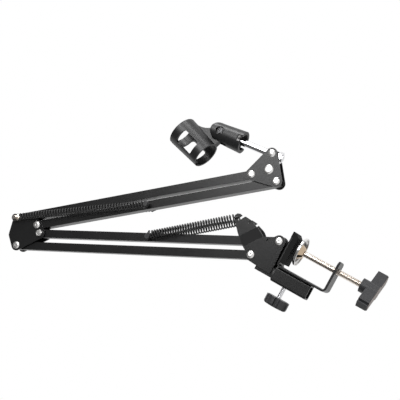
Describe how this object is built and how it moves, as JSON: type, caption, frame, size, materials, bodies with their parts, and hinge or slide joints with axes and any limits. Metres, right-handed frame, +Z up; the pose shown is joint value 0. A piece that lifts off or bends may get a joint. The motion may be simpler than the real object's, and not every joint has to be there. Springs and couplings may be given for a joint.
{
  "type": "microphone boom arm",
  "caption": "Desk-clamp boom arm: sprung parallelogram arms on a swivelling base carry a tilting head and a slotted clip that holds a microphone over the desk.",
  "frame": {"origin": "on the clamp screw's axis, in the rubber face that rests on the desk", "axes": "+X from the clamp's back towards the desk, +Y across the arm, +Z up"},
  "size_m": [0.2972, 0.0476, 0.4983],
  "materials": {
    "black_coat": "satin powder coat",
    "black_rubber": "matte",
    "nickel": "bright nickel plate",
    "yellow_zinc": "yellow zinc plate",
    "chrome_plate": "polished",
    "black_plastic": "fine moulded grain",
    "spring_steel": "black oxide, oiled",
    "dark_steel": "satin",
    "nylon": "matte"
  },
  "bodies": {
    "clamp": {"clamp_frame": "black_coat", "jaw_pad": "black_rubber", "clamp_socket": "black_coat", "socket_bush": "black_plastic"},
    "pressure_foot": {"foot_disc": "chrome_plate", "foot_socket": "yellow_zinc"},
    "clamp_screw": {"screw_shaft": "yellow_zinc", "t_handle": "black_plastic"},
    "thumbscrew": {"thumb_stud": "chrome_plate", "thumb_knob": "black_plastic"},
    "swivel_base": {"swivel_post": "black_coat", "swivel_washer": "nylon", "base_plate_front": "black_coat", "base_plate_rear": "black_coat", "base_rivet_inner": "nickel", "base_rivet_outer": "nickel", "base_washers_inner": "nylon", "base_washers_outer": "nylon"},
    "lower_bar_inner": {"lower_bar_inner": "black_coat", "lower_spring_pin": "nickel", "lower_spring_front": "spring_steel", "lower_spring_rear": "spring_steel"},
    "lower_bar_outer": {"lower_bar_outer": "black_coat"},
    "elbow": {"elbow_plate_front": "black_coat", "elbow_plate_rear": "black_coat", "elbow_rivet_low": "nickel", "elbow_rivet_outer": "nickel", "elbow_hex_bolt": "nickel", "elbow_hex_nut": "nickel", "elbow_spring_bolt": "yellow_zinc", "elbow_spring_nut_front": "yellow_zinc", "elbow_spring_nut_rear": "yellow_zinc", "elbow_washers_inner": "nylon", "elbow_washers_outer": "nylon", "elbow_washers_top": "nylon", "elbow_washers_low": "nylon"},
    "upper_bar_low": {"upper_bar_low": "black_coat", "upper_spring_pin": "nickel", "upper_spring_front": "spring_steel", "upper_spring_rear": "spring_steel"},
    "upper_bar_top": {"upper_bar_top": "black_coat"},
    "head": {"head_plate_front": "black_coat", "head_plate_rear": "black_coat", "head_rivet_top": "nickel", "head_rivet_low": "nickel", "head_spacer": "nickel", "tilt_screw_front": "nickel", "tilt_screw_rear": "nickel", "head_washers_top": "nylon", "head_washers_low": "nylon"},
    "tilt": {"tilt_block": "dark_steel", "mic_rod": "chrome_plate", "rod_nut": "chrome_plate"},
    "clip_stem": {"clip_stem": "black_plastic", "thread_insert": "chrome_plate", "clip_screw": "nickel", "clip_nut": "nickel"},
    "mic_clip": {"mic_clip": "black_plastic"}
  },
  "joints": [
    {"name": "base_swivel", "type": "hinge", "parent": "clamp", "child": "swivel_base", "pos_m": [-0.04, 0, 0.0095], "axis": [0, 0, 1], "continuous": true},
    {"name": "lower_arm_swing", "type": "hinge", "parent": "swivel_base", "child": "lower_bar_inner", "pos_m": [-0.0013, 0, 0.02095], "axis": [0, 1, 0], "range_deg": [-4, 100], "deforming": ["lower_spring_front", "lower_spring_rear"]},
    {"name": "lower_outer_swing", "type": "hinge", "parent": "swivel_base", "child": "lower_bar_outer", "pos_m": [-0.03317, 0, 0.04553], "axis": [0, 1, 0], "range_deg": [-4, 100]},
    {"name": "elbow_level", "type": "hinge", "parent": "lower_bar_inner", "child": "elbow", "pos_m": [-0.15145, 0, 0.33156], "axis": [0, 1, 0], "range_deg": [-100, 4]},
    {"name": "upper_arm_swing", "type": "hinge", "parent": "elbow", "child": "upper_bar_low", "pos_m": [-0.14356, 0, 0.34239], "axis": [0, -1, 0], "range_deg": [-3, 115], "deforming": ["upper_spring_front", "upper_spring_rear"]},
    {"name": "upper_top_swing", "type": "hinge", "parent": "elbow", "child": "upper_bar_top", "pos_m": [-0.15002, 0, 0.37658], "axis": [0, -1, 0], "range_deg": [-3, 115]},
    {"name": "head_level", "type": "hinge", "parent": "upper_bar_low", "child": "head", "pos_m": [0.06452, 0, 0.0622], "axis": [0, -1, 0], "range_deg": [-115, 3]},
    {"name": "head_tilt", "type": "hinge", "parent": "head", "child": "tilt", "pos_m": [0.09382, 0, 0.0854], "axis": [0, 1, 0], "range_deg": [-5, 100]},
    {"name": "clip_turn", "type": "hinge", "parent": "tilt", "child": "clip_stem", "pos_m": [0.09382, 0, 0.0854], "axis": [-0.061, 0, 0.9981], "continuous": true},
    {"name": "clip_tilt", "type": "hinge", "parent": "clip_stem", "child": "mic_clip", "pos_m": [0.08904, 0, 0.16366], "axis": [-0.1389, 0.9903, -0.0085], "range_deg": [-15, 110]},
    {"name": "foot_travel", "type": "slide", "parent": "clamp", "child": "pressure_foot", "axis": [0, 0, 1], "range_m": [-0.0425, 0.005]},
    {"name": "clamp_screw_turn", "type": "hinge", "parent": "pressure_foot", "child": "clamp_screw", "pos_m": [0, 0, -0.06], "axis": [0, 0, 1], "range_deg": [-7651, 901]},
    {"name": "thumbscrew_turn", "type": "hinge", "parent": "clamp", "child": "thumbscrew", "pos_m": [-0.065, 0, -0.011], "axis": [1, 0, 0], "continuous": true}
  ],
  "couplings": [
    {"joint": "lower_outer_swing", "follows": "lower_arm_swing", "ratio": 1},
    {"joint": "elbow_level", "follows": "lower_arm_swing", "ratio": -1},
    {"joint": "upper_top_swing", "follows": "upper_arm_swing", "ratio": 1},
    {"joint": "head_level", "follows": "upper_arm_swing", "ratio": -1},
    {"joint": "clamp_screw_turn", "follows": "foot_travel", "rad_per_m": 3141.6}
  ]
}
